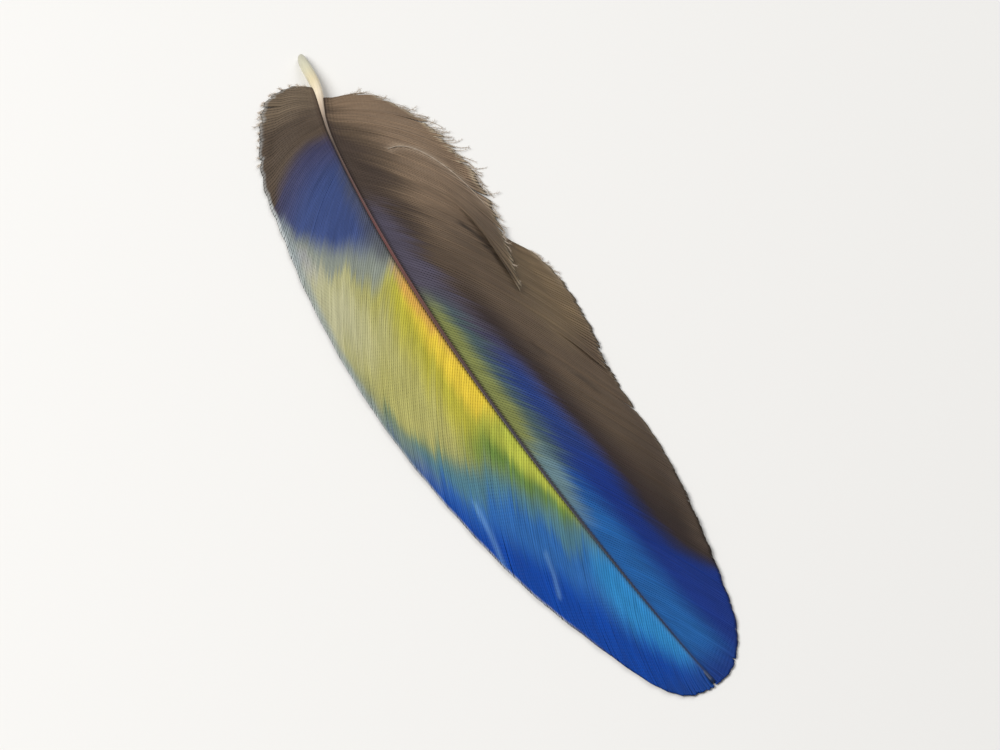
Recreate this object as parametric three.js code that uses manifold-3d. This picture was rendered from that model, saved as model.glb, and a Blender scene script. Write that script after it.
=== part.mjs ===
// A wing covert feather of a macaw: a horny shaft that carries a vane of barbs on each side, grown as one
// piece.
// It lies with its coloured side up, on the rims of its vanes, its tip and the end of its quill.
// +Y runs up the shaft to the quill, +X is the side of the wider vane, and z = 0 is the surface it lies on.
import * as THREE from "three";
import { mergeVertices } from "three/addons/utils/BufferGeometryUtils.js";
import Module from "manifold-3d";

const wasm = await Module();
wasm.setup();

// Driving dimensions, in millimetres
const QUILL_END = 50.5; // y of the quill's blunt end
const FEATHER_LENGTH = 101; // from the quill's end to the rim of the tip
const SHAFT_LENGTH = 100.3; // the shaft thins out just short of the rim of the tip

const SHAFT_MIDDLE_X = 2.15; // x of the line that joins the quill to the tip
const SHAFT_BOW = 5.2; // how far the shaft bows sideways off that line
const BOW_SKEW = 0.84; // under 1, the bow is deepest above the middle
const QUILL_SET = 0.9; // the quill is set straight, against the bow
const QUILL_SET_AT = 0.06; // share of the length where that is strongest
const QUILL_SET_REACH = 0.05;

const QUILL_RADIUS = 0.65; // the bare, hollow end
const QUILL_NOSE = 2.6; // length of the quill's rounded end
const QUILL_NOSE_SHARE = 0.3; // width of its very end, as a share of the quill's
const QUILL_TAPER_START = 4; // from the quill's end, where it begins to narrow to the rachis
const QUILL_TAPER_END = 13;
const RACHIS_RADIUS = 0.42;
const SHAFT_TIP_RADIUS = 0.26;
const SHAFT_DEPTH = 1.15; // the shaft is a little deeper than it is wide

const ARCH_RISE = 3.2; // how far the shaft arches up off the surface
const ARCH_SKEW = 0.85; // under 1, the arch is highest above the middle
const TIP_REST = 0.955; // from this share of the length on, the tip lies flat on the surface
const TIP_FLATTENING = 6; // the higher, the nearer the tip the arch begins to flatten out
const SHAFT_REST = 0.3; // height of the shaft's centre at its two ends
const VANE_SWELL = 0.45; // the vanes rise beside the shaft, which lies in a shallow groove

const VANE_ROOT_THICKNESS = 0.3;
const VANE_THICKNESS = 0.46; // just outside the shaft, thinning to the rim
const VANE_RIM_THICKNESS = 0.28;
const VANE_ROOT_GAP = 0.1; // from the shaft's centre line to the inner edge of a vane
const VANE_ROOT_RISE = 0.06; // the vanes join the shaft above its underside
const ROOT_SHARE = 0.12; // share of a barb's length that these root sizes blend over

const LOCK_RIDGE = 0.18; // each lock of barbs is this much higher along its middle
const LOCK_ROWS = 8; // facets along a lock
const PULL_GROWTH = 1.3; // over 1, a parted lock bends away more towards the rim
const SHAFT_RINGS = 44;
const RING_CROWDING = 1.5; // over 1, the rings lie closer together towards the quill's end
const SHAFT_SIDES = 12;

// Half widths that the camber of the vanes falls away over, and the span of the vanes along the shaft
const CAMBER_HALF_WIDTH = { narrow: 10.6, wide: 14.8 };
const CAMBER_MIDDLE_Y = -1.5;
const CAMBER_HALF_SPAN = 49.5;
const CAMBER_SQUARENESS = 2.4;
const CAMBER_END = 0.98; // share of that half span where the vanes stop narrowing

// The vanes are laid out by stations. Each gives the y where a barb leaves the shaft, and the x and y where
// it ends. Between stations the barbs fan evenly.
// bulge is how far a barb bends out from its chord, as a share of it, and fringe is how far the middle of a
// lock reaches past its sides.
// The wide vane has parted in two places. After the named lock the barbs come apart from a facet row on, and
// the locks before it are lifted, and pulled by so much at the rim, over the ones that follow.
const NARROW_VANE = {
  side: "narrow",
  locks: 34,
  bulge: 0.09,
  fringe: 0.25,
  stations: [
    [44.2, 0.7, 45.0],
    [43.4, -1.4, 46.6],
    [42.3, -4.5, 46.0],
    [40.8, -6.7, 43.1],
    [39.0, -8.8, 39.1],
    [36.9, -10.7, 33.7],
    [34.3, -11.9, 26.5],
    [30.6, -13.2, 17.5],
    [24.9, -14.0, 5.0],
    [12.6, -13.6, -7.5],
    [0.6, -12.0, -20.0],
    [-11.1, -9.8, -30.5],
    [-22.6, -6.7, -39.8],
    [-33.0, -3.8, -46.8],
    [-40.6, -1.4, -49.7],
    [-45.5, 0.8, -50.2],
    [-48.0, 2.0, -50.2],
  ],
  partings: [],
};
const WIDE_VANE = {
  side: "wide",
  locks: 38,
  bulge: 0.06,
  fringe: 0.45,
  stations: [
    [42.0, 2.9, 41.4],
    [41.5, 6.1, 40.8],
    [41.0, 8.8, 38.0],
    [40.2, 10.9, 34.3],
    [38.9, 12.0, 29.5],
    [37.2, 12.5, 25.0],
    [35.3, 12.2, 20.2],
    [32.6, 11.6, 14.0],
    [29.9, 13.0, 10.2],
    [26.9, 13.9, 5.5],
    [23.3, 13.9, 1.0],
    [20.2, 13.5, -3.0],
    [17.4, 12.8, -7.0],
    [10.6, 12.4, -13.5],
    [3.6, 12.5, -19.5],
    [-4.3, 11.9, -26.0],
    [-13.0, 10.7, -33.0],
    [-21.6, 9.5, -39.0],
    [-30.2, 8.1, -44.4],
    [-37.8, 6.1, -47.9],
    [-43.5, 4.3, -49.5],
    [-48.0, 2.2, -50.2],
  ],
  partings: [
    { afterLock: 14, fromRow: 4, locksPulled: 4, pull: [-4.4, -7.0], lift: 0.62 },
    { afterLock: 22, fromRow: 5, locksPulled: 2, pull: [-0.4, -0.8], lift: 0.5 },
  ],
};

const { lerp, smoothstep, clamp } = THREE.MathUtils;

// How far down the feather a place is: 0 at the quill's end, 1 at the tip
function downFeather(y) {
  return clamp((QUILL_END - y) / FEATHER_LENGTH, 0, 1);
}

// The bow of the shaft seen from above, with the quill set straight
function shaftX(y) {
  const p = downFeather(y);
  const bow = SHAFT_BOW * Math.sin(Math.PI * p ** BOW_SKEW);
  const set = QUILL_SET * Math.exp(-(((p - QUILL_SET_AT) / QUILL_SET_REACH) ** 2));
  return SHAFT_MIDDLE_X - bow + set;
}

// The arch of the shaft seen from the side: highest before the middle, and running out flat at the tip
function archHeight(y) {
  const p = downFeather(y);
  const flattening = Math.max(0, 1 - (p / TIP_REST) ** TIP_FLATTENING);
  return ARCH_RISE * Math.sin(Math.PI * p ** ARCH_SKEW) * flattening;
}

// A rounded nose, the even quill, a quick taper to the rachis, and then a slow one to the tip
function shaftRadius(y) {
  const fromEnd = QUILL_END - y;
  const nose = 1 - Math.min(fromEnd / QUILL_NOSE, 1);
  const blunt = lerp(QUILL_NOSE_SHARE, 1, Math.sqrt(1 - nose * nose));
  const rachis = lerp(RACHIS_RADIUS, SHAFT_TIP_RADIUS, downFeather(y));
  const taper = smoothstep(fromEnd, QUILL_TAPER_START, QUILL_TAPER_END);
  return blunt * lerp(QUILL_RADIUS, rachis, taper);
}

// Height of the vanes' underside: the arch, falling away in a camber to each rim, with a swell beside the shaft
function vaneUnderside(x, y, side) {
  const along = clamp(Math.abs(y - CAMBER_MIDDLE_Y) / CAMBER_HALF_SPAN, 0, CAMBER_END);
  const narrowing = (1 - along ** CAMBER_SQUARENESS) ** (1 / CAMBER_SQUARENESS);
  const across = clamp(Math.abs(x - shaftX(y)) / (CAMBER_HALF_WIDTH[side] * narrowing), 0, 1);
  const arch = archHeight(y);
  const swell = VANE_SWELL * Math.sin(Math.PI * across) * smoothstep(arch, 0, ARCH_RISE);
  return arch * (1 - across * across) + swell;
}

// A solid from points as [x, y, z] and triangles as the numbers of their three points
function solidFrom(points, triangles) {
  const geometry = new THREE.BufferGeometry();
  geometry.setAttribute("position", new THREE.Float32BufferAttribute(points.flat(), 3));
  geometry.setIndex(triangles.flat());
  const merged = mergeVertices(geometry);
  return new wasm.Manifold(
    new wasm.Mesh({
      numProp: 3,
      vertProperties: merged.getAttribute("position").array,
      triVerts: new Uint32Array(merged.index.array),
    }),
  );
}

// The shaft: oval rings along its bowed and arched route, flattened where it rests, with a cap at each end
function makeShaft() {
  const points = [];
  const triangles = [];
  for (let i = 0; i <= SHAFT_RINGS; i++) {
    const y = QUILL_END - SHAFT_LENGTH * (i / SHAFT_RINGS) ** RING_CROWDING;
    const radius = shaftRadius(y);
    for (let k = 0; k < SHAFT_SIDES; k++) {
      const angle = (2 * Math.PI * k) / SHAFT_SIDES;
      const z = SHAFT_REST + archHeight(y) + radius * SHAFT_DEPTH * Math.sin(angle);
      points.push([shaftX(y) + radius * Math.cos(angle), y, Math.max(0, z)]);
    }
  }
  for (let i = 0; i < SHAFT_RINGS; i++) {
    for (let k = 0; k < SHAFT_SIDES; k++) {
      const a = i * SHAFT_SIDES + k;
      const b = i * SHAFT_SIDES + ((k + 1) % SHAFT_SIDES);
      triangles.push([a, b, b + SHAFT_SIDES], [a, b + SHAFT_SIDES, a + SHAFT_SIDES]);
    }
  }
  const lastRing = SHAFT_RINGS * SHAFT_SIDES;
  for (let k = 1; k < SHAFT_SIDES - 1; k++) {
    triangles.push([0, k + 1, k], [lastRing, lastRing + k, lastRing + k + 1]);
  }
  return solidFrom(points, triangles);
}

// The line of one barb, as rows of its top and underside points. Even lines part two locks, and odd ones run
// along a lock's middle. A line at a parting is taken twice: as the edge of the lock that lies over it, and
// as the edge of the next lock.
function barbLine(vane, fan, line, isOver) {
  const outward = vane.side === "narrow" ? -1 : 1;
  const isMiddle = line % 2 === 1;
  const [rootY, tipX, tipY] = fan.getPoint(line / (2 * vane.locks)).toArray();
  const root = new THREE.Vector2(shaftX(rootY) + outward * VANE_ROOT_GAP, rootY);
  const tip = new THREE.Vector2(tipX, tipY);
  const chord = tip.clone().sub(root);
  const bend = new THREE.Vector2(-outward * chord.y, outward * chord.x).multiplyScalar(vane.bulge);
  const control = root.clone().addScaledVector(chord, 0.5).add(bend);
  if (isMiddle) tip.addScaledVector(tip.clone().sub(control).normalize(), vane.fringe);
  const barb = new THREE.QuadraticBezierCurve(root, control, tip);

  const top = [];
  const under = [];
  for (let row = 0; row <= LOCK_ROWS; row++) {
    const t = row / LOCK_ROWS;
    const place = barb.getPoint(t);
    let lifted = 0;
    for (const { afterLock, fromRow, locksPulled, pull, lift } of vane.partings) {
      const linesBefore = 2 * afterLock - line;
      if (linesBefore < 0 || (linesBefore === 0 && !isOver)) continue;
      const nearness = Math.max(0, 1 - linesBefore / (2 * locksPulled));
      const loose = Math.max(0, row - fromRow - 1) / (LOCK_ROWS - fromRow - 1);
      const pulled = loose ** PULL_GROWTH;
      place.x += pull[0] * pulled * nearness ** 2;
      place.y += pull[1] * pulled * nearness;
      lifted += lift * nearness * smoothstep(row, fromRow, fromRow + 1);
    }
    const atRoot = 1 - smoothstep(t, 0, ROOT_SHARE);
    const low = vaneUnderside(place.x, place.y, vane.side) + lifted + VANE_ROOT_RISE * atRoot;
    const thickness = lerp(lerp(VANE_THICKNESS, VANE_RIM_THICKNESS, t), VANE_ROOT_THICKNESS, atRoot);
    const ridge = isMiddle ? LOCK_RIDGE * (1 - atRoot) : 0;
    under.push([place.x, place.y, low]);
    top.push([place.x, place.y, low + thickness + ridge]);
  }
  return { top, under };
}

// One vane: a thin closed sheet, made strip by strip between neighbouring barb lines. It has a wall along the
// shaft, along the rim, at its first and last line, and on both sides of each parting.
function makeVane(vane) {
  const fan = new THREE.CatmullRomCurve3(
    vane.stations.map((station) => new THREE.Vector3(...station)),
    false,
    "catmullrom",
  );
  const points = [];
  const triangles = [];
  const addFace = (...corners) => {
    const first = points.length;
    points.push(...(vane.side === "narrow" ? corners : corners.reverse()));
    triangles.push([first, first + 1, first + 2], [first, first + 2, first + 3]);
  };
  const lastLine = 2 * vane.locks;
  const firstOpenRow = (line) => {
    if (line === 0 || line === lastLine) return 0;
    const parting = vane.partings.find(({ afterLock }) => 2 * afterLock === line);
    return parting ? parting.fromRow : LOCK_ROWS;
  };
  for (let line = 0; line < lastLine; line++) {
    const before = barbLine(vane, fan, line, false);
    const after = barbLine(vane, fan, line + 1, true);
    for (let row = 0; row < LOCK_ROWS; row++) {
      const next = row + 1;
      addFace(before.top[row], before.top[next], after.top[next], after.top[row]);
      addFace(before.under[row], after.under[row], after.under[next], before.under[next]);
      if (row >= firstOpenRow(line)) {
        addFace(before.top[row], before.under[row], before.under[next], before.top[next]);
      }
      if (row >= firstOpenRow(line + 1)) {
        addFace(after.top[row], after.top[next], after.under[next], after.under[row]);
      }
    }
    addFace(before.top[0], after.top[0], after.under[0], before.under[0]);
    const rim = LOCK_ROWS;
    addFace(before.top[rim], before.under[rim], after.under[rim], after.top[rim]);
  }
  return solidFrom(points, triangles);
}

// The shaft and the two vanes, grown together as one body
function makeFeather() {
  const body = makeShaft().add(makeVane(NARROW_VANE)).add(makeVane(WIDE_VANE)).getMesh();
  const joined = new THREE.BufferGeometry();
  joined.setAttribute("position", new THREE.BufferAttribute(body.vertProperties, body.numProp));
  joined.setIndex(new THREE.BufferAttribute(body.triVerts, 1));
  const faceted = joined.toNonIndexed();
  faceted.computeVertexNormals();
  const keratin = new THREE.MeshStandardMaterial({ color: 0x3f62a8, roughness: 0.6, metalness: 0 });
  const feather = new THREE.Mesh(faceted, keratin);
  feather.name = "feather";
  return feather;
}

const macawFeather = new THREE.Group();
macawFeather.add(makeFeather());
export default macawFeather;
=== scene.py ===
"""A macaw's wing covert feather, lying on a pale surface with its coloured side up.

It is drawn as it grew: the shaft, the barbs of its narrow vane and of its wide vane, and the loose barbs
that have come away from them. Lengths are in millimetres until a mesh is made of them. +Y runs up the
shaft to the quill, +X is the side of the wide vane, and z = 0 is the surface that the feather lies on.
"""

import math

import bmesh
import bpy
import numpy as np
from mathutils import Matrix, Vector


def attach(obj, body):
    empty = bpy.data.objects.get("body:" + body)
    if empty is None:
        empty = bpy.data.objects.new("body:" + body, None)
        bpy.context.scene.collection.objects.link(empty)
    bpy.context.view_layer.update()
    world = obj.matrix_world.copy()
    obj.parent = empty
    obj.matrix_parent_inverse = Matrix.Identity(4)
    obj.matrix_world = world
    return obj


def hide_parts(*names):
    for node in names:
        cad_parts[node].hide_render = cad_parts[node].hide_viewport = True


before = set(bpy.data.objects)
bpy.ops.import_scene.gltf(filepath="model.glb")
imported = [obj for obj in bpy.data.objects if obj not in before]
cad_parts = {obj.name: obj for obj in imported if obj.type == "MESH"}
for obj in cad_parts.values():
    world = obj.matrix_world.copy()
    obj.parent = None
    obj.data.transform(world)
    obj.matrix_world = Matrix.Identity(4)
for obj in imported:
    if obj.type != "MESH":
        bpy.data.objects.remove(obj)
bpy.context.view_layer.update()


# The shaft is one horny spine: a hollow ivory quill, bare at its end, that narrows to the solid dark rachis
# which carries both vanes. It grew bowed to one side and arched, and it lies on its quill and its tip.
MM = 0.001
QUILL_END = 50.5
FEATHER_LENGTH = 101.0
SHAFT_LENGTH = 100.3
SHAFT_MIDDLE_X = 2.15
SHAFT_BOW = 5.2
BOW_SKEW = 0.84
QUILL_SET = 0.9
QUILL_SET_AT = 0.06
QUILL_SET_REACH = 0.05
QUILL_RADIUS = 0.65
QUILL_NOSE = 2.6
QUILL_NOSE_SHARE = 0.3
QUILL_TAPER = (4.0, 13.0)
RACHIS_RADIUS = 0.42
SHAFT_TIP_RADIUS = 0.26
SHAFT_DEPTH = 1.15
ARCH_RISE = 3.2
ARCH_SKEW = 0.85
TIP_REST = 0.955
TIP_FLATTENING = 6
SHAFT_REST = 0.3
SHAFT_RINGS = 300
SHAFT_SIDES = 24
RING_CROWDING = 1.4
HORN_RIDGES = 7
HORN_RIDGE_HEIGHT = 0.012
HORN_TWIST = 9  # how far the ridges turn round the shaft along it, in radians
KERATIN_IOR = 1.54


def smooth(value, low, high):
    """A smooth step: 0 below low, 1 above high, and 3u^2 - 2u^3 between."""
    u = np.clip((value - low) / (high - low), 0, 1)
    return u * u * (3 - 2 * u)


def mix(a, b, share):
    """The straight blend from a to b."""
    return a + (b - a) * share


def down_feather(y):
    """How far down the feather y is: 0 at the quill's end, 1 at the tip."""
    return np.clip((QUILL_END - y) / FEATHER_LENGTH, 0, 1)


def shaft_x(y):
    """The bow seen from above: half a sine wave off the line from quill to tip, less the straight set of the
    quill."""
    p = down_feather(y)
    bow = SHAFT_BOW * np.sin(np.pi * p**BOW_SKEW)
    return SHAFT_MIDDLE_X - bow + QUILL_SET * np.exp(-(((p - QUILL_SET_AT) / QUILL_SET_REACH) ** 2))


def arch_height(y):
    """The arch seen from the side: half a sine wave that runs out flat at the tip."""
    p = down_feather(y)
    return ARCH_RISE * np.sin(np.pi * p**ARCH_SKEW) * np.maximum(0, 1 - (p / TIP_REST) ** TIP_FLATTENING)


def shaft_radius(y):
    """A rounded nose, the even quill, a quick taper to the rachis, and then a slow one to the tip."""
    from_end = QUILL_END - y
    nose = 1 - np.minimum(from_end / QUILL_NOSE, 1)
    blunt = mix(QUILL_NOSE_SHARE, 1, np.sqrt(1 - nose * nose))
    rachis = mix(RACHIS_RADIUS, SHAFT_TIP_RADIUS, down_feather(y))
    return blunt * mix(QUILL_RADIUS, rachis, smooth(from_end, *QUILL_TAPER))


def linear(hex_colour):
    """An sRGB colour written #rrggbb, as the linear colour with alpha that the shaders take."""
    srgb = [int(hex_colour[i : i + 2], 16) / 255 for i in (1, 3, 5)]
    return [c / 12.92 if c <= 0.04045 else ((c + 0.055) / 1.055) ** 2.4 for c in srgb] + [1.0]


def new_material(name):
    """An empty material: its node tree and the shader's node."""
    material = bpy.data.materials.new(name)
    material.use_nodes = True
    tree = material.node_tree
    return material, tree, tree.nodes["Principled BSDF"]


# A Mix node's colour sockets by number, since its sockets for numbers and vectors bear the same names
MIX_SHARE, MIX_FROM, MIX_TO, MIX_RESULT = 0, 6, 7, 2


def add(tree, kind, inputs=(), **settings):
    """Adds a shader node with its settings. Inputs map a socket's name or number to a value or a link."""
    made = tree.nodes.new("ShaderNode" + kind)
    for name, value in settings.items():
        setattr(made, name, value)
    for socket, value in dict(inputs).items():
        if isinstance(value, bpy.types.NodeSocket):
            tree.links.new(value, made.inputs[socket])
        else:
            made.inputs[socket].default_value = value
    return made


def make_piece(name, points, quads, uv, marks, materials, material_of_face=None):
    """One piece from whole arrays: points in millimetres, quads as rows of four point numbers, a UV for each
    corner of each quad or None, and marks as named numbers for each point."""
    mesh = bpy.data.meshes.new(name)
    mesh.vertices.add(len(points))
    mesh.vertices.foreach_set("co", (points * MM).astype(np.float32).ravel())
    mesh.loops.add(quads.size)
    mesh.loops.foreach_set("vertex_index", quads.astype(np.int32).ravel())
    mesh.polygons.add(len(quads))
    mesh.polygons.foreach_set("loop_start", np.arange(0, quads.size, 4, dtype=np.int32))
    mesh.polygons.foreach_set("use_smooth", np.ones(len(quads), bool))
    if material_of_face is not None:
        mesh.polygons.foreach_set("material_index", material_of_face.astype(np.int32))
    mesh.update(calc_edges=True)
    if uv is not None:
        layer = mesh.uv_layers.new(name="OFBake")
        layer.uv.foreach_set("vector", uv.astype(np.float32).ravel())
    for mark, values in marks.items():
        attribute = mesh.attributes.new(mark, "FLOAT", "POINT")
        attribute.data.foreach_set("value", values.astype(np.float32).ravel())
    for material in materials:
        mesh.materials.append(material)
    piece = bpy.data.objects.new(name, mesh)
    bpy.context.scene.collection.objects.link(piece)
    return piece


def quads_of(grid, turned):
    """The quads of a grid of point numbers, taken the other way round where it is turned."""
    a, b, c, d = grid[..., :-1, :-1], grid[..., :-1, 1:], grid[..., 1:, 1:], grid[..., 1:, :-1]
    corners = [d, c, b, a] if turned else [a, b, c, d]
    return np.stack(corners, -1).reshape(-1, 4)


def uv_of(u, v, turned):
    """The corners' UVs for the quads of a grid, from the u and v of its points."""
    place = np.stack(np.broadcast_arrays(u, v), -1)
    a, b = place[..., :-1, :-1, :], place[..., :-1, 1:, :]
    c, d = place[..., 1:, 1:, :], place[..., 1:, :-1, :]
    corners = [d, c, b, a] if turned else [a, b, c, d]
    return np.stack(corners, -2).reshape(-1, 2)


def horn():
    """Keratin, as grown: smooth, a little waxy, ivory where it is hollow and dark with pigment where it is
    solid. The eye sees a soft highlight along it and faint grain lengthwise."""
    material, tree, shader = new_material("quill_and_rachis_keratin")
    down = add(tree, "Attribute", attribute_name="down_the_shaft").outputs["Fac"]
    ramp = add(tree, "ValToRGB", {"Fac": down})
    stops = [
        (0.000, "#bcb9a8"),
        (0.025, "#cdc9ae"),
        (0.050, "#ddcfaa"),
        (0.074, "#ecdcc0"),
        (0.093, "#c8b39c"),
        (0.118, "#877769"),
        (0.160, "#57493f"),
        (0.300, "#643e3c"),
        (0.400, "#633a31"),
        (0.480, "#52352b"),
        (0.600, "#33292a"),
        (0.800, "#1b2333"),
        (1.000, "#172c50"),
    ]
    elements = ramp.color_ramp.elements
    elements[0].position, elements[0].color = stops[0][0], linear(stops[0][1])
    elements[1].position, elements[1].color = stops[-1][0], linear(stops[-1][1])
    for position, colour in stops[1:-1]:
        elements.new(position).color = linear(colour)
    around = add(tree, "Attribute", attribute_name="round_the_shaft").outputs["Fac"]
    grain_place = add(tree, "CombineXYZ", {"X": around, "Y": down})
    stretch = add(tree, "Mapping", {"Vector": grain_place.outputs[0], "Scale": (9.0, 30.0, 1.0)})
    grain = add(tree, "TexNoise", {"Vector": stretch.outputs[0], "Scale": 1.0, "Detail": 4.0})
    share = add(tree, "MapRange", {"Value": grain.outputs["Fac"], "To Min": 0.8, "To Max": 1.18})
    tinted = add(
        tree,
        "Mix",
        {MIX_SHARE: 1.0, MIX_FROM: ramp.outputs["Color"], MIX_TO: share.outputs[0]},
        data_type="RGBA",
        blend_type="MULTIPLY",
    )
    tree.links.new(tinted.outputs[MIX_RESULT], shader.inputs["Base Color"])
    bump = add(tree, "Bump", {"Height": grain.outputs["Fac"], "Strength": 0.15, "Distance": 0.00005})
    tree.links.new(bump.outputs[0], shader.inputs["Normal"])
    shader.inputs["Roughness"].default_value = 0.38
    shader.inputs["IOR"].default_value = KERATIN_IOR
    shader.inputs["Specular IOR Level"].default_value = 0.28
    return material


def make_shaft():
    """Oval rings along the bowed and arched route, fluted by a few low ridges, flat where they rest."""
    share = np.linspace(0, 1, SHAFT_RINGS)[:, None]
    angle = np.linspace(0, 2 * np.pi, SHAFT_SIDES, endpoint=False)[None, :]
    y = QUILL_END - SHAFT_LENGTH * share**RING_CROWDING
    radius = shaft_radius(y) * (1 + HORN_RIDGE_HEIGHT * np.sin(HORN_RIDGES * angle + HORN_TWIST * share))
    x = shaft_x(y) + radius * np.cos(angle)
    z = np.maximum(0, SHAFT_REST + arch_height(y) + radius * SHAFT_DEPTH * np.sin(angle))
    rings = np.stack(np.broadcast_arrays(x, y, z), -1).reshape(-1, 3)
    ends = [rings[:SHAFT_SIDES].mean(0), rings[-SHAFT_SIDES:].mean(0)]
    points = np.vstack([rings, ends])

    number = np.arange(SHAFT_RINGS * SHAFT_SIDES).reshape(SHAFT_RINGS, SHAFT_SIDES)
    number = np.hstack([number, number[:, :1]])
    quads = quads_of(number, True)
    along = np.linspace(0.02, 0.98, SHAFT_RINGS)[:, None]
    turn = np.linspace(0, 1, SHAFT_SIDES + 1)[None, :]
    uv = uv_of(turn, along, True)
    down = np.append(((QUILL_END - y) / FEATHER_LENGTH).repeat(SHAFT_SIDES), [0, 1])
    round_it = np.append(np.tile(np.abs(angle / np.pi - 1), (SHAFT_RINGS, 1)), [0, 0])
    marks = {"down_the_shaft": down, "round_the_shaft": round_it}
    shaft = make_piece("shaft", points, quads, uv, marks, [horn()])
    close_ends(shaft, number[0], len(points) - 2, number[-1], len(points) - 1)
    return shaft


def close_ends(piece, first_ring, first_centre, last_ring, last_centre):
    """Fans of triangles that close a tube at both ends, each with its own strip of the UV map."""
    body = bmesh.new()
    body.from_mesh(piece.data)
    body.verts.ensure_lookup_table()
    layer = body.loops.layers.uv["OFBake"]
    sides = len(first_ring) - 1
    for ring, centre, near, far, turned in (
        (first_ring, first_centre, 0.015, 0.0, False),
        (last_ring, last_centre, 0.985, 1.0, True),
    ):
        for k in range(sides):
            corners = [(ring[k], k, near), (ring[k + 1], k + 1, near), (centre, k + 0.5, far)]
            if turned:
                corners.reverse()
            face = body.faces.new([body.verts[int(number)] for number, _, _ in corners])
            face.smooth = True
            for loop, (_, turn, level) in zip(face.loops, corners):
                loop[layer].uv = (turn / sides, level)
    body.to_mesh(piece.data)
    body.free()


shaft = make_shaft()
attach(shaft, "root")
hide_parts("feather")


# Each vane is a sheet of some hundreds of barbs side by side, flat horny fibres that leave the shaft at a
# slant and hook on to each other by the finer barbules on their flanks. They are drawn one by one, each a
# closed ribbon with a raised spine, whose flanks overlap the next as shingles do.
BARB_SPACING = 0.5  # along the shaft or the rim, whichever is wider apart
BARB_ROWS = 34
HALF_OVERLAP = 0.67  # half a ribbon's width, as a share of the spacing
ACROSS = np.array([-1.0, -0.32, 0.0, 0.32, 1.0])
SPINE = np.array([0.0, 0.022, 0.036, 0.022, 0.0])
SPINE_TAPER = 0.6  # how much of its height the spine loses from the shaft to the rim
SHINGLE = 0.02
BARB_THICKNESS = 0.13
THICKNESS_TAPER = 0.45
TIP_NARROWS_FROM = 0.955
ROOT_SUNK = 0.05  # how far a barb's root reaches under the edge of the bare shaft
LEAST_TOP, LEAST_UNDERSIDE = 0.02, 0.01  # over the surface that the feather lies on
SHEET_OVER_UNDERSIDE = (0.40, 0.20)  # at the shaft, and at the rim
LOCK_SWELL = 0.07
SHOULDER_BLEND = 1.3  # length over which a barb comes down from the shaft's shoulder
VANE_SWELL = 0.45
CAMBER_MIDDLE_Y = -1.5
CAMBER_HALF_SPAN = 49.5
CAMBER_SQUARENESS = 2.4
CAMBER_END = 0.98
LOCK_ROWS = 8
PULL_GROWTH = 1.3
# How far barbs differ: their waver and drift, in spacings, and their height, in millimetres
WAVER_SPREAD, DRIFT_SPREAD, HEIGHT_SPREAD = 0.06, 0.05, 0.012
# A barb's stray, which combs the markings, is partly its own and partly shared with its neighbours
STRAY_OWN, STRAY_SHARED = 0.6, 0.8
STRAY_REACH = 3.5
STRAY_LIMIT = 2.2
BORDER_BREAK = 1.8  # how strongly the streaks break up the border of a marking
BARBULE_GRAIN = 0.42  # the real barbules are 0.03 mm apart, which would not show
UNDERSIDE_DUN = "#6f6555"
UNDERSIDE_DULLNESS = 0.72
# How much of the shaft the barbs leave bare, as pairs of y and half the width that shows
BARE_SHAFT = [
    (45, 0.64), (42, 0.45), (39, 0.24), (34, 0.16), (20, 0.22),
    (8, 0.27), (-10, 0.24), (-30, 0.18), (-48, 0.1),
]


def follow(pairs, y):
    """The straight-line curve through pairs of y and value, taken at y."""
    ys, values = np.array(sorted(pairs), float).T
    return np.interp(y, ys, values)


def through(stations, share):
    """The Catmull-Rom curve through the stations, with reflected ends, at shares 0 to 1 of their count."""
    stations = np.array(stations, float)
    points = np.vstack([2 * stations[0] - stations[1], stations, 2 * stations[-1] - stations[-2]])
    place = np.clip(share, 0, 1) * (len(stations) - 1)
    span = np.minimum(place.astype(int), len(stations) - 2)
    w = (place - span)[..., None]
    before, start, end, after = (points[span + k] for k in range(4))
    leaving, arriving = (end - before) / 2, (after - start) / 2
    cubic = (2 * start - 2 * end + leaving + arriving) * w + (3 * end - 3 * start - 2 * leaving - arriving)
    return (cubic * w + leaving) * w + start


def even_shares(vane):
    """The shares of the stations at which the barbs stand, evenly apart where they are widest."""
    share = np.linspace(0, 1, 4001)
    step = np.diff(through(vane["stations"], share), axis=0)
    run = np.append(0, np.cumsum(np.maximum(np.abs(step[:, 0]), np.hypot(step[:, 1], step[:, 2]))))
    count = round(run[-1] / BARB_SPACING)
    return np.interp(np.linspace(0, run[-1], count + 1), run, share)


def underside_height(x, y, vane):
    """The height of a vane's underside: the arch, less the square of how far across the vane it is, plus a
    swell of half a sine wave across it."""
    along = np.clip(np.abs(y - CAMBER_MIDDLE_Y) / CAMBER_HALF_SPAN, 0, CAMBER_END)
    narrowing = (1 - along**CAMBER_SQUARENESS) ** (1 / CAMBER_SQUARENESS)
    across = np.clip(np.abs(x - shaft_x(y)) / (vane["camber_half_width"] * narrowing), 0, 1)
    arch = arch_height(y)
    return arch * (1 - across**2) + VANE_SWELL * np.sin(np.pi * across) * smooth(arch, 0, ARCH_RISE)


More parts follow.
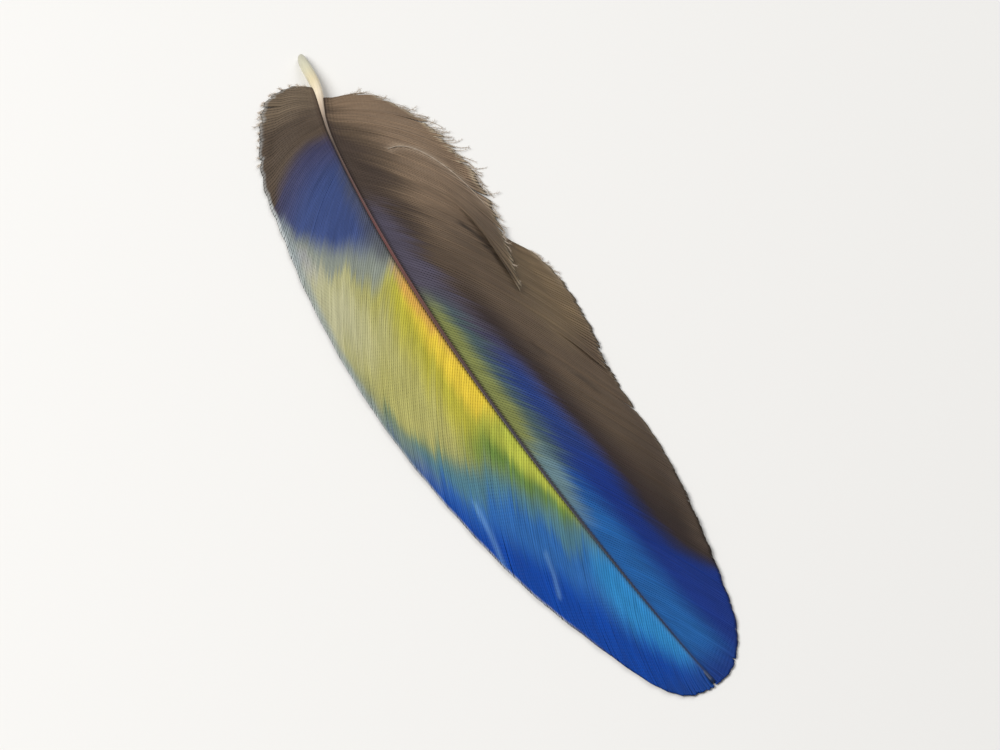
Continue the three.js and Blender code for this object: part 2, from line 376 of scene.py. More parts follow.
def lay_barbs(vane, seed):
    """Places of all the barbs' points, as an array of barb, row and place across, with what the marks need.

    A barb is a quadratic curve from the shaft to the rim. Its middle point is off the chord by the vane's
    bulge, and its tip reaches further at the middle of each lock. At a parting the barbs before it are pulled
    over those after it, less and less from lock to lock. Each barb wavers a little along its length."""
    rng = np.random.default_rng(seed)
    shares = even_shares(vane)
    count = len(shares) - 1
    outward, locks = vane["outward"], vane["locks"]

    t = np.linspace(0, 1, BARB_ROWS)[None, :, None]
    number = np.arange(count)[:, None, None] + 0.5

    def own(spread):
        """A number of its own for each barb."""
        return rng.normal(0, spread, (count, 1, 1))

    waver = own(WAVER_SPREAD)
    waves, phase = rng.uniform(0.6, 2.2, (count, 1, 1)), rng.uniform(0, 1, (count, 1, 1))
    waver = waver * np.sin(2 * np.pi * (t * waves + phase))
    width = HALF_OVERLAP * (1 - vane["tip_narrowing"] * smooth(t, TIP_NARROWS_FROM, 1.0))
    index = number + own(DRIFT_SPREAD) * t + waver * smooth(t, 0, 0.3) + ACROSS * width
    for at, from_t, gap, reach in vane["splits"]:
        off = number - at * count
        index = index + np.sign(off) * gap * np.exp(-np.abs(off) / reach) * smooth(t, from_t, 1.0)
    share = np.interp(index, np.arange(count + 1), shares)
    own_share = np.interp(number, np.arange(count + 1), shares)

    fan = through(vane["stations"], share)
    root_y = fan[..., 0]
    bare = follow(BARE_SHAFT, root_y) - ROOT_SUNK
    root = np.stack([shaft_x(root_y) + outward * bare, root_y], -1)
    tip = fan[..., 1:]
    chord = tip - root
    control = root + chord / 2 + outward * vane["bulge"] * np.stack([-chord[..., 1], chord[..., 0]], -1)
    line = share * 2 * locks
    in_lock = 1 - np.abs(np.mod(line, 2) - 1)
    ragged = np.abs(rng.normal(0, 1, (count, 1, 1))) * follow(vane["ragged"], root_y)
    away = tip - control
    away /= np.linalg.norm(away, axis=-1, keepdims=True)
    further = follow(vane["fringe"], root_y) * in_lock - ragged
    tip = tip + away * further[..., None]
    t4 = t[..., None]
    place = (1 - t4) ** 2 * root + 2 * t4 * (1 - t4) * control + t4**2 * tip

    lifted = np.zeros_like(share)
    row = t * LOCK_ROWS
    for after_lock, from_row, locks_pulled, pull, lift in vane["partings"]:
        is_before = own_share * 2 * locks < 2 * after_lock
        lines_before = np.maximum(0, 2 * after_lock - line)
        nearness = np.maximum(0, 1 - lines_before / (2 * locks_pulled)) * is_before
        pulled = (np.maximum(0, row - from_row - 1) / (LOCK_ROWS - from_row - 1)) ** PULL_GROWTH
        place[..., 0] += pull[0] * pulled * nearness**2
        place[..., 1] += pull[1] * pulled * nearness
        lifted += lift * nearness * smooth(row, from_row + 0.5, from_row + 2.5)

    x, y = place[..., 0], place[..., 1]
    steps = np.linalg.norm(np.diff(place[:, :, 2], axis=1), axis=-1)
    from_root = np.concatenate([np.zeros((count, 1)), np.cumsum(steps, 1)], 1)[..., None]
    length = from_root[:, -1:]

    sheet = underside_height(x, y, vane) + lifted + mix(*SHEET_OVER_UNDERSIDE, t)
    sheet = sheet + LOCK_SWELL * in_lock * smooth(t, 0.05, 0.3)
    radius = shaft_radius(root_y)
    rounding = np.sqrt(1 - np.minimum(bare / radius, 1) ** 2)
    shoulder = SHAFT_REST + arch_height(y) + radius * SHAFT_DEPTH * rounding
    sheet = shoulder + (sheet - shoulder) * smooth(from_root, 0, SHOULDER_BLEND)
    fade = smooth(t, 0.02, 0.2)
    top = sheet + own(HEIGHT_SPREAD) * fade + SPINE * (1 - SPINE_TAPER * t) - SHINGLE * ACROSS * fade
    thick = BARB_THICKNESS * (1 - THICKNESS_TAPER * t) * (1 - ACROSS**2)
    under = np.maximum(top - thick, LEAST_UNDERSIDE)

    along = np.gradient(place[:, :, 2], axis=1)
    along /= np.linalg.norm(along, axis=-1, keepdims=True)
    stray = STRAY_OWN * own(1) + STRAY_SHARED * soft_noise(rng, count, STRAY_REACH)
    return {
        "count": count,
        "top": np.stack([x, y, np.maximum(top, LEAST_TOP)], -1),
        "under": np.stack([x, y, under], -1)[:, 1:-1, 1:-1],
        "along": along[:, :, None, :],
        "from_root": from_root + 0 * x,
        "from_rim": length - from_root + 0 * x,
        "across": ACROSS + 0 * x,
        "number": number + 0 * x,
        "stray": np.clip(stray, -STRAY_LIMIT, STRAY_LIMIT) + 0 * x,
    }


def soft_noise(rng, count, reach):
    """Random numbers for each barb, alike in neighbours: white noise blurred by a bell of this reach."""
    bell = np.exp(-((np.arange(-15, 16) / reach) ** 2))
    blurred = np.convolve(rng.normal(0, 1, count + 30), bell, "valid")
    return (blurred / np.sqrt((bell**2).sum()))[:, None, None]


def vane_piece(name, laid, turned, marks, materials):
    """The barbs as one mesh: for each a top grid and an underside grid that share their outer points, so each
    ribbon is closed. In the UV map the barbs stand side by side, tops above and undersides below."""
    count, columns = laid["count"], len(ACROSS)
    on_top = count * BARB_ROWS * columns
    top = np.arange(on_top).reshape(count, BARB_ROWS, columns)
    under = top.copy()
    inner = (count, BARB_ROWS - 2, columns - 2)
    under[:, 1:-1, 1:-1] = on_top + np.arange(math.prod(inner)).reshape(inner)
    quads = np.vstack([quads_of(top, turned), quads_of(under, not turned)])
    barb = np.arange(count)[:, None, None]
    u = (barb + 0.06 + 0.88 * np.linspace(0, 1, columns)) / count
    v = np.linspace(0.005, 0.495, BARB_ROWS)[None, :, None]
    uv = np.vstack([uv_of(u, v + 0.5, turned), uv_of(u, v, not turned)])
    points = np.vstack([laid["top"].reshape(-1, 3), laid["under"].reshape(-1, 3)])
    both = {k: np.append(m, m[:, 1:-1, 1:-1]) for k, m in marks.items()}
    is_under = np.repeat([0, 1], len(quads) // 2)
    return make_piece(name, points, quads, uv, both, materials, is_under)


def barb_marks(laid):
    """What every barb's material reads: its number, the length along it, and the place across it."""
    return {name: laid[name] for name in ("number", "from_root", "across")}


def vane_keratin(name, ground, markings, dullness):
    """Barbs of keratin, as grown: blue by the fine structure of their spines, yellow and brown by pigment in
    spines and barbules. The eye sees fine combed lines, a cross grain of barbules, and a satin sheen.

    The ground colour is overlaid by the markings in turn, each where its named mark is 1. Dullness is how far
    the colours go to the dun of the underside."""
    material, tree, shader = new_material(name)
    number, from_root, across = (
        add(tree, "Attribute", attribute_name=mark).outputs["Fac"]
        for mark in ("number", "from_root", "across")
    )
    # Streaks, alike in three or four neighbouring barbs and drawn out over about 7 mm of their length
    place = add(tree, "CombineXYZ", {"X": number, "Y": from_root})
    combed = add(tree, "Mapping", {"Vector": place.outputs[0], "Scale": (0.32, 0.14, 1.0)})
    streaks = add(
        tree, "TexNoise", {"Vector": combed.outputs[0], "Scale": 1.0, "Detail": 3.0, "Roughness": 0.62}
    )
    streak = streaks.outputs["Fac"]

    colour = linear(ground)
    for mark, marking in markings:
        amount = add(tree, "Attribute", attribute_name=mark).outputs["Fac"]
        # A marking's border breaks up into the streaks, most where its amount is a half
        rest = add(tree, "Math", {0: 1.0, 1: amount}, operation="SUBTRACT").outputs[0]
        edge = add(tree, "Math", {0: amount, 1: rest}, operation="MULTIPLY").outputs[0]
        swing = add(tree, "Math", {0: streak, 1: 0.5}, operation="SUBTRACT").outputs[0]
        broken = add(tree, "Math", {0: edge, 1: swing}, operation="MULTIPLY").outputs[0]
        uneven = {0: broken, 1: BORDER_BREAK, 2: amount}
        factor = add(tree, "Math", uneven, operation="MULTIPLY_ADD", use_clamp=True)
        overlay = {MIX_SHARE: factor.outputs[0], MIX_FROM: colour, MIX_TO: linear(marking)}
        colour = add(tree, "Mix", overlay, data_type="RGBA").outputs[MIX_RESULT]

    tone = add(
        tree,
        "MapRange",
        {"Value": streak, "From Min": 0.25, "From Max": 0.75, "To Min": 0.79, "To Max": 1.21},
    )
    # Painted highlight: each barb is lighter along its spine and darker on its flanks, as if its spine caught
    # the light
    off_spine = add(tree, "Math", {0: across}, operation="ABSOLUTE").outputs[0]
    spine_highlight = add(tree, "MapRange", {"Value": off_spine, "From Max": 0.6, "To Min": 1.12, "To Max": 0.93})
    shade = add(tree, "Math", {0: tone.outputs[0], 1: spine_highlight.outputs[0]}, operation="MULTIPLY").outputs[0]
    shaded = {MIX_SHARE: 1.0, MIX_FROM: colour, MIX_TO: shade}
    colour = add(tree, "Mix", shaded, data_type="RGBA", blend_type="MULTIPLY").outputs[MIX_RESULT]
    if dullness:
        dulled = {MIX_SHARE: dullness, MIX_FROM: colour, MIX_TO: linear(UNDERSIDE_DUN)}
        colour = add(tree, "Mix", dulled, data_type="RGBA").outputs[MIX_RESULT]
    tree.links.new(colour, shader.inputs["Base Color"])

    # Barbules slant away from the spine on both flanks
    slant = add(tree, "Math", {0: off_spine, 1: 0.25, 2: from_root}, operation="MULTIPLY_ADD").outputs[0]
    phase = add(tree, "Math", {0: slant, 1: 2 * math.pi / BARBULE_GRAIN}, operation="MULTIPLY").outputs[0]
    wave = add(tree, "Math", {0: phase}, operation="SINE").outputs[0]
    height = add(tree, "Math", {0: wave, 1: off_spine}, operation="MULTIPLY").outputs[0]
    bump = add(tree, "Bump", {"Height": height, "Strength": 0.55, "Distance": 0.00004})
    tree.links.new(bump.outputs[0], shader.inputs["Normal"])
    rough = add(tree, "MapRange", {"Value": streak, "To Min": 0.4, "To Max": 0.55})
    tree.links.new(rough.outputs[0], shader.inputs["Roughness"])
    shader.inputs["IOR"].default_value = KERATIN_IOR
    shader.inputs["Specular IOR Level"].default_value = 0.1
    shader.inputs["Sheen Weight"].default_value = 0.02
    return material


# The narrow vane, on the side that the shaft bows to, is the brightest. It is brown and downy at the base,
# then blue, yellow-green with a yellow band beside the shaft, and blue again to the tip. Its rim is smooth,
# with a painted highlight along it.
NARROW_VANE = {
    "outward": -1,
    "tip_narrowing": 0.0,
    "locks": 34,
    "bulge": 0.09,
    # How far the middle of a lock reaches past its sides, as pairs of y on the shaft and length
    "fringe": [(46, 0.25), (-48, 0.2)],
    "camber_half_width": 10.6,
    # Barbs from the base to the tip of the vane, as y where they leave the shaft, and x and y of their tips
    "stations": [
        (44.2, 0.7, 45.0),
        (43.4, -1.4, 46.6),
        (42.3, -4.5, 46.0),
        (40.8, -6.7, 43.1),
        (39.0, -8.8, 39.1),
        (36.9, -10.7, 33.7),
        (34.3, -11.9, 26.5),
        (30.6, -13.2, 17.5),
        (24.9, -14.0, 5.0),
        (12.6, -13.6, -7.5),
        (0.6, -12.0, -20.0),
        (-11.1, -9.8, -30.5),
        (-22.6, -6.7, -39.8),
        (-33.0, -3.8, -46.8),
        (-40.6, -1.4, -49.7),
        (-45.5, 0.8, -50.2),
        (-48.0, 2.0, -50.2),
    ],
    "partings": [],
    # Thin gaps: share of the barbs, place along a barb that it opens from, half its width, reach in barbs
    "splits": [(0.055, 0.35, 0.35, 2.0), (0.905, 0.94, 0.45, 1.5)],
    # How unevenly the barbs end, as pairs of y on the shaft and length
    "ragged": [(46, 0.22), (40, 0.12), (34, 0.04), (-48, 0.03)],
}


def border(points, x, y, softness):
    """1 below a border given by pairs of x and y, and 0 above it, over the softness."""
    return smooth(follow(points, x) - y, -softness / 2, softness / 2)


def beside_shaft(widths, distance, y, softness):
    """1 nearer the shaft than the widths, given as pairs of y and distance, and 0 beyond."""
    return smooth(follow(widths, y) - distance, -softness / 2, softness / 2)


def streak_line(points, x, y, half_width):
    """A soft line through the points: 1 on it, falling to 0 at the half width."""
    nearest = np.full(np.shape(x), np.inf)
    for (xa, ya), (xb, yb) in zip(points[:-1], points[1:]):
        run = np.array([xb - xa, yb - ya])
        along = np.clip(((x - xa) * run[0] + (y - ya) * run[1]) / (run @ run), 0, 1)
        nearest = np.minimum(nearest, np.hypot(x - xa - along * run[0], y - ya - along * run[1]))
    return 1 - smooth(nearest, 0, half_width)


# The markings are placed as the slanted view of the feather shows them. There a point at height z is seen
# this many times z to the side and up the feather from where it is.
SEEN_SHIFT = np.array([0.334, 0.616])


def strayed(laid, comb, outward):
    """The seen x and y, and the distance from the shaft, each barb's moved along it by its own stray, which
    combs the markings."""
    place = laid["top"][..., :2] + laid["along"] * (comb * laid["stray"])[..., None]
    seen = place + SEEN_SHIFT * laid["top"][..., 2:]
    return seen[..., 0], seen[..., 1], outward * (place[..., 0] - shaft_x(place[..., 1]))


narrow_barbs = lay_barbs(NARROW_VANE, seed=3)
x, y, off = strayed(narrow_barbs, comb=0.3, outward=-1)
far_x, far_y, far_off = strayed(narrow_barbs, comb=0.9, outward=-1)
rim, from_root = narrow_barbs["from_rim"], narrow_barbs["from_root"]

# Borders of markings, as pairs of the seen x and y
LOBE_BORDER = [
    (-12.6, 26.4), (-11.8, 28.4), (-10.4, 31.4), (-8.9, 33.4),
    (-6.9, 35.2), (-4.9, 36.6), (-2.9, 37.4), (-0.8, 37.4),
]
BLUE_ENDS = [
    (-12.2, 30.0), (-10.9, 27.2), (-9.9, 25.2), (-8.9, 23.8), (-7.9, 22.9), (-6.4, 21.3), (-5.0, 20.4),
    (-3.5, 20.3), (-2.0, 20.6),
]
GREY_ENDS = [
    (-12.2, 27.5), (-10.0, 22.0), (-8.0, 17.8), (-6.8, 15.8), (-5.0, 15.0), (-3.0, 15.4), (-1.5, 16.4),
]
LOWER_BLUE = [
    (-14.5, 2.0), (-13.4, -2.2), (-12.2, -6.4), (-10.9, -9.8), (-9.6, -12.0), (-8.0, -13.4),
    (-6.4, -14.8), (-5.2, -17.0), (-4.2, -19.6), (-3.2, -22.2), (-2.0, -24.2), (0.2, -27.0),
]
# Bands of colour beside the shaft, as pairs of y and distance from it
DEEP_BLUE = [
    (-2, 14), (-5, 11), (-10, 10.2), (-15, 9.6), (-20, 8.6), (-25, 7.2), (-30, 5.4), (-35, 4.2), (-40, 3.2),
    (-44, 2.2), (-49, 0.8),
]
GREEN_BAND = [(-3, 2.6), (-8, 4.9), (-12, 5.2), (-18, 4.4), (-21, 3.9), (-23.5, 1.8), (-26, 0.4)]
LIME_BAND = [(-6, 2.8), (-12, 2.4), (-17, 1.6), (-20, 0.6), (-22, 0.0)]
ORANGE_BAND = [(20, 0.6), (16, 1.3), (9, 1.2), (4, 0.8), (-4, 0.3)]
# Painted shadow: a dark grey band beside the shaft at the top of the narrow vane, as pairs of y and distance
SHAFT_SHADOW_BAND = [(34, 0.4), (28, 1.2), (21, 2.0), (16, 1.0)]
narrow_marks = {
    "grey_yellow": smooth(far_off, 4.0, 9.0) * smooth(far_y, 1, 13),
    "olive_yellow": beside_shaft(
        [(18, 2.6), (12, 3.6), (5, 4.2), (0, 4.6), (-5, 4.8), (-10, 4.4), (-20, 2.6)], far_off, far_y, 3.6
    ),
    "yellow": beside_shaft(
        [(15, 0.6), (11, 1.6), (5, 2.3), (0, 2.5), (-6, 2.3), (-12, 1.5), (-18, 0.4)], off, y, 1.9
    ),
    "orange": beside_shaft(ORANGE_BAND, off, y, 1.2) * smooth(y, -3, 9) * 0.7,
    "green": beside_shaft(GREEN_BAND, far_off, far_y, 3.4) * smooth(-y, 5, 12),
    "sea_green": border(LOWER_BLUE, far_x, far_y - 3.0, 6.5) * 0.85,
    "lime": smooth(-far_y, 5, 12) * beside_shaft(LIME_BAND, off, y, 1.9),
    "teal": border(LOWER_BLUE, x, y - 0.8, 5.5),
    "mid_blue": border(LOWER_BLUE, far_x, far_y + 3.8, 6.0),
    "near_teal": beside_shaft([(-25, 1.4), (-32, 2.6), (-40, 3.5), (-47, 2.8)], off, y, 2.6)
    * smooth(-y, 26, 32) * (1 - smooth(-y, 43, 49)),
    "deep_blue": (1 - beside_shaft(DEEP_BLUE, off, y, 3.4)) * smooth(-y, 3, 10),
    "pale_streak": 0.28 * np.maximum(
        streak_line([(-9.5, -16.7), (-9.9, -21.0), (-10.8, -26.5)], x, y, 0.5),
        streak_line([(-5.9, -26.7), (-6.4, -29.5), (-7.3, -32.5)], x, y, 0.45),
    ),
    "tip_blue": smooth(-y, 45.5, 49.5) * 0.85,
    "pale_lilac": smooth(far_off, 6.0, 9.0) * smooth(far_y, 18, 23),
    "grey_green": 1 - border(GREY_ENDS, far_x, far_y, 5.0),
    "upper_blue": 1 - border(BLUE_ENDS, x, y, 5.6),
    # Painted shadow beside the shaft at the top of the narrow vane
    "painted_shaft_shadow": beside_shaft(SHAFT_SHADOW_BAND, off, y, 2.4) * smooth(y, 15, 19) * 0.75,
    "violet": (1 - border(LOBE_BORDER, x, y + 3.6, 6.5)) * 0.9,
    "brown": 1 - border(LOBE_BORDER, x, y, 2.6),
    "lobe_top": smooth(y, 40.5, 45) * 0.8,
    # Painted shade: a dark line along a crease near the top of the narrow vane
    "painted_crease_shade": streak_line([(-7.6, 38.6), (-6.2, 40.6), (-4.2, 41.2), (-1.8, 41.3)], x, y, 0.9) * 0.45,
    "low_margin": (1 - smooth(rim, 2.0, 5.0)) * smooth(y, -16, -4) * (1 - smooth(y, 3, 9)) * 0.6,
    "grey_margin": (1 - smooth(rim, 0.9, 2.6)) * smooth(y, -6, 2) * (1 - smooth(y, 27, 31)) * 0.75,
    "root_shade": (1 - smooth(from_root, 0.15, 0.7)) * 0.4,
    # Painted highlight: a pale line along the rim, where the ends of the barbs catch the light
    "painted_rim_highlight": (1 - smooth(rim, 0.3, 0.55)) * smooth(y, -42, -34) * (1 - smooth(y, 30, 34) * 0.7) * 0.75,
}
NARROW_GROUND = "#a9a460"
NARROW_COLOURS = [
    ("grey_yellow", "#b4b18b"),
    ("olive_yellow", "#b3ab3a"),
    ("yellow", "#dfc13c"),
    ("orange", "#c68c50"),
    ("green", "#66833b"),
    ("sea_green", "#597962"),
    ("lime", "#b2b745"),
    ("teal", "#4a7686"),
    ("mid_blue", "#2a63a6"),
    ("near_teal", "#2a80bb"),
    ("deep_blue", "#00409a"),
    ("pale_streak", "#7fb0dc"),
    ("tip_blue", "#0f3c86"),
    ("pale_lilac", "#9c9d9b"),
    ("grey_green", "#858b80"),
    ("upper_blue", "#3a4a7a"),
    # Painted shadow beside the shaft
    ("painted_shaft_shadow", "#4b4c51"),
    ("violet", "#3f3c55"),
    ("brown", "#53463a"),
    ("lobe_top", "#6e5f4d"),
    # Painted shade along the crease
    ("painted_crease_shade", "#41362c"),
    ("low_margin", "#7f8568"),
    ("grey_margin", "#939d9c"),
    ("root_shade", "#3d2d25"),
    # Painted highlight along the rim
    ("painted_rim_highlight", "#d6dad8"),
]
narrow_vane = vane_piece(
    "narrow_vane_barbs",
    narrow_barbs,
    True,
    barb_marks(narrow_barbs) | narrow_marks,
    [
        vane_keratin("narrow_vane_keratin", NARROW_GROUND, NARROW_COLOURS, 0.0),
        vane_keratin("narrow_vane_keratin_underside", NARROW_GROUND, NARROW_COLOURS, UNDERSIDE_DULLNESS),
    ],
)
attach(narrow_vane, "root")
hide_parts("feather")


# The wide vane is brown on the outside and blue along the shaft, with an olive band between. Its barbs have
# come apart in two places, and there the stretch nearer the quill lies over the next one.
WIDE_VANE = {
    "outward": 1,
    "tip_narrowing": 0.4,
    "locks": 38,
    "bulge": 0.06,
    "fringe": [(46, 0.45), (32, 0.4), (20, 0.2), (-48, 0.1)],
    "camber_half_width": 14.8,
    "stations": [
        (42.0, 2.9, 41.4),
        (41.5, 6.1, 40.8),
        (41.0, 8.8, 38.0),
        (40.2, 10.9, 34.3),
        (38.9, 12.0, 29.5),
        (37.2, 12.5, 25.0),
        (35.3, 12.2, 20.2),
        (32.6, 11.6, 14.0),
        (29.9, 13.0, 10.2),
        (26.9, 13.9, 5.5),
        (23.3, 13.9, 1.0),
        (20.2, 13.5, -3.0),
        (17.4, 12.8, -7.0),
        (10.6, 12.4, -13.5),
        (3.6, 12.5, -19.5),
        (-4.3, 11.9, -26.0),
        (-13.0, 10.7, -33.0),
        (-21.6, 9.5, -39.0),
        (-30.2, 8.1, -44.4),
        (-37.8, 6.1, -47.9),
        (-43.5, 4.3, -49.5),
        (-48.0, 2.2, -50.2),
    ],
    # Lock before it, row that it opens from, locks that are pulled over, how far at the rim, and how high
    "partings": [(14, 4, 4, (-4.4, -7.0), 0.62), (22, 5, 2, (-0.4, -0.8), 0.3)],
    "splits": [(0.10, 0.45, 0.6, 2.5), (0.21, 0.55, 0.5, 2.0), (0.52, 0.7, 0.4, 2.0), (0.93, 0.93, 0.5, 1.5)],
    "ragged": [(46, 0.6), (40, 0.45), (34, 0.3), (20, 0.2), (0, 0.08), (-48, 0.05)],
}
wide_barbs = lay_barbs(WIDE_VANE, seed=8)
x, y, off = strayed(wide_barbs, comb=0.3, outward=1)
_, far_y, far_off = strayed(wide_barbs, comb=0.8, outward=1)
rim, from_root = wide_barbs["from_rim"], wide_barbs["from_root"]

# Bands of colour beside the shaft, as pairs of y and distance from it
BLUE_REACH = [
    (30, 1.0), (20, 3.0), (14, 3.7), (8, 4.0), (4, 4.6), (0, 5.2), (-5, 5.8), (-10, 6.2),
    (-15, 6.6), (-22, 6.7), (-28, 6.6), (-33, 7.1), (-37.5, 9.1), (-41, 12.0), (-50, 14.0),
]
GREEN_SLATE_BAND = [(14, 1.4), (8, 2.6), (2, 3.4), (-6, 3.5), (-12, 3.5), (-18, 2.9), (-24, 1.6)]
LIGHT_BLUE_BAND = [(-12, 2.2), (-18, 3.0), (-22, 3.3), (-28, 3.6), (-34, 3.6), (-40, 3.6), (-47, 4.0)]
OLIVE_BAND = [(14, 0.8), (9, 1.4), (4, 1.9), (-2, 2.1), (-9, 2.1), (-14, 1.5), (-19, 0.4)]
# Where a loose barb lies on the vane. The barbs under it are bent, and catch the light along it
FALLEN_BARB = [
    (5.2, 32.4), (6.6, 32.1), (7.9, 31.0), (9.0, 29.2), (9.9, 27.0), (10.6, 24.6), (11.1, 22.0), (11.4, 19.6),
]
# Painted shadow along the slit at the long parting, and along two short dents in the vane below it
SLIT_SHADOW_LINE = [(7.6, 18.4), (8.5, 15.4), (9.0, 12.1), (9.1, 9.0)]
NEAR_DENT_SHADOW, FAR_DENT_SHADOW = [(6.4, -0.4), (6.9, -2.8)], [(8.9, -7.0), (9.9, -10.2)]


def blue_reach(more):
    """The reach of the blue from the shaft, made longer or shorter."""
    return [(at, reach + more) for at, reach in BLUE_REACH]


wide_marks = {
    "upper_light": smooth(far_y, 13, 30) * smooth(far_off + 4.5 * smooth(y, 35, 42), 3.5, 7.5) * 0.9,
    "low_dark": smooth(-far_y, 10, 32),
    "dark_inner": beside_shaft([(42, -1.6), (38, 1.5), (30, 3.6), (22, 5.0), (10, 4.8)], far_off, y, 3.2)
    * smooth(y, 8, 20) * 0.95,
    "blue_shadow": beside_shaft(blue_reach(2.6), off, y, 3.4) * smooth(-y, -18, -4),
    "outer_brown": smooth(-y, 8, 14) * (1 - smooth(rim, 0.5, 4.0)) * (1 - smooth(-y, 30, 40)) * 0.8,
    "olive_rim": smooth(far_off, 9.5, 13.5) * (1 - smooth(np.abs(y - 5), 5, 11)) * 0.7,
    "slate": beside_shaft(BLUE_REACH, far_off, far_y, 2.6) * smooth(-far_y, -29, -23) * 0.9,
    "blue": beside_shaft(blue_reach(0.1), off, y, 2.4) * smooth(-far_y, -6, 5),
    "deep_blue": beside_shaft(blue_reach(0.2), off, y, 2.2) * smooth(-y, 12, 22),
    "border_dark": np.exp(-(((off - follow(BLUE_REACH, y) - 0.3) / 0.9) ** 2))
    * smooth(-y, 16, 26) * (1 - smooth(-y, 35, 40)) * 0.6,
    "green_slate": beside_shaft(GREEN_SLATE_BAND, far_off, far_y, 2.4)
    * smooth(-far_y, -14, -6) * (1 - smooth(-far_y, 16, 25)),
    "light_blue": beside_shaft(LIGHT_BLUE_BAND, off, y, 3.0)
    * smooth(-y, 12, 26) * (1 - smooth(-y, 43, 49) * 0.6),
    "sea_grey": beside_shaft([(-8, 1.6), (-16, 2.2), (-24, 1.6), (-30, 0.4)], off, y, 1.8)
    * smooth(-y, 7, 14) * (1 - smooth(-y, 20, 28)),
    "olive": beside_shaft(OLIVE_BAND, off, y, 1.6)
    * smooth(-far_y, -14, -7) * (1 - smooth(-far_y, 10, 18)),
    "tip_blue": smooth(-y, 45.0, 49.5) * 0.85,
    # Painted highlight: a pale line along the rim, where the ends of the barbs catch the light
    "painted_rim_highlight": (1 - smooth(rim, 0.2, 0.9)) * smooth(y, -30, -18) * 0.6,
    # Painted highlight: a pale line along the rim of the upper wide vane and its lobe
    "painted_lobe_edge_highlight": (1 - smooth(rim, 0.25, 1.1)) * smooth(y, 3, 7) * (1 - smooth(y, 38, 42)) * 0.75,
    "root_shade": (1 - smooth(from_root, 0.15, 0.6)) * 0.45,
    "pale_bend": streak_line(FALLEN_BARB, x, y, 0.8) * 0.5,
    # Painted shadow along the slit and the dents
    "painted_slit_shadow": np.maximum(
        0.85 * streak_line(SLIT_SHADOW_LINE, x, y, 0.45),
        0.45 * np.maximum(streak_line(NEAR_DENT_SHADOW, x, y, 0.4), streak_line(FAR_DENT_SHADOW, x, y, 0.4)),
    ),
}
WIDE_GROUND = "#5e4e3e"
WIDE_COLOURS = [
    ("upper_light", "#87715b"),
    ("low_dark", "#372c25"),
    ("dark_inner", "#43372f"),
    ("blue_shadow", "#352a27"),
    ("outer_brown", "#54463a"),
    ("olive_rim", "#75634a"),
    ("slate", "#4c4756"),
    ("blue", "#233a77"),
    ("deep_blue", "#0f2f7c"),
    ("border_dark", "#1c1a26"),
    ("green_slate", "#465a5c"),
    ("light_blue", "#1c5c9e"),
    ("sea_grey", "#647f85"),
    ("olive", "#7b8047"),
    ("tip_blue", "#11327c"),
    # Painted highlight along the rim
    ("painted_rim_highlight", "#a3927c"),
    # Painted highlight along the rim of the lobe
    ("painted_lobe_edge_highlight", "#a8987f"),
    ("root_shade", "#33282a"),
    ("pale_bend", "#a8947f"),
    # Painted shadow along the slit and the dents
    ("painted_slit_shadow", "#2c231d"),
]
wide_vane = vane_piece(
    "wide_vane_barbs",
    wide_barbs,
    False,
    barb_marks(wide_barbs) | wide_marks,
    [
        vane_keratin("wide_vane_keratin", WIDE_GROUND, WIDE_COLOURS, 0.0),
        vane_keratin("wide_vane_keratin_underside", WIDE_GROUND, WIDE_COLOURS, UNDERSIDE_DULLNESS),
    ],
)
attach(wide_vane, "root")
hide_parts("feather")


# Loose barbs have come unhooked at the rim of the wide vane and at the base of both vanes, and one lies
# across the wide vane. Each is a thin pale horny thread, with its barbules standing off it on both sides.
THREAD_STEPS = 9
THREAD_RADIUS = 0.055
FALLEN_RADIUS = 0.075
BARBULE_RADIUS = 0.024  # the real ones are half as thick, which would not show
BARBULES_EACH = 12
BARBULE_LEAN = math.radians(38)
# Vane, how many, y of the barbs' tips from and to, and shortest and longest length
FRINGES = [
    ("wide", 50, (17.0, 38.0), (0.7, 2.1)),
    ("wide", 16, (6.0, 17.0), (0.3, 0.9)),
    ("wide", 10, (38.0, 43.5), (0.6, 1.6)),
    ("narrow", 20, (37.0, 48.0), (0.2, 0.7)),
]


def threads(paths, radii):
    """Four-sided tubes along paths given as an array of thread, step and place, closed at both ends. A corner
    stands off the path by the radius, a quarter turn from the last: to the side, above, and so on."""
    along = np.gradient(paths, axis=1)
    along /= np.linalg.norm(along, axis=-1, keepdims=True)
    side = np.cross(along, (0.0, 0.0, 1.0))
    side /= np.linalg.norm(side, axis=-1, keepdims=True)
    corners = np.stack([side, np.cross(side, along), -side, -np.cross(side, along)], 2)
    points = paths[:, :, None] + radii[..., None, None] * corners
    number = np.arange(points[..., 0].size).reshape(points.shape[:3])
    around = np.concatenate([number, number[..., :1]], 2)
    quads = np.vstack([quads_of(around, True), number[:, 0], number[:, -1, ::-1]])
    return points.reshape(-1, 3), quads


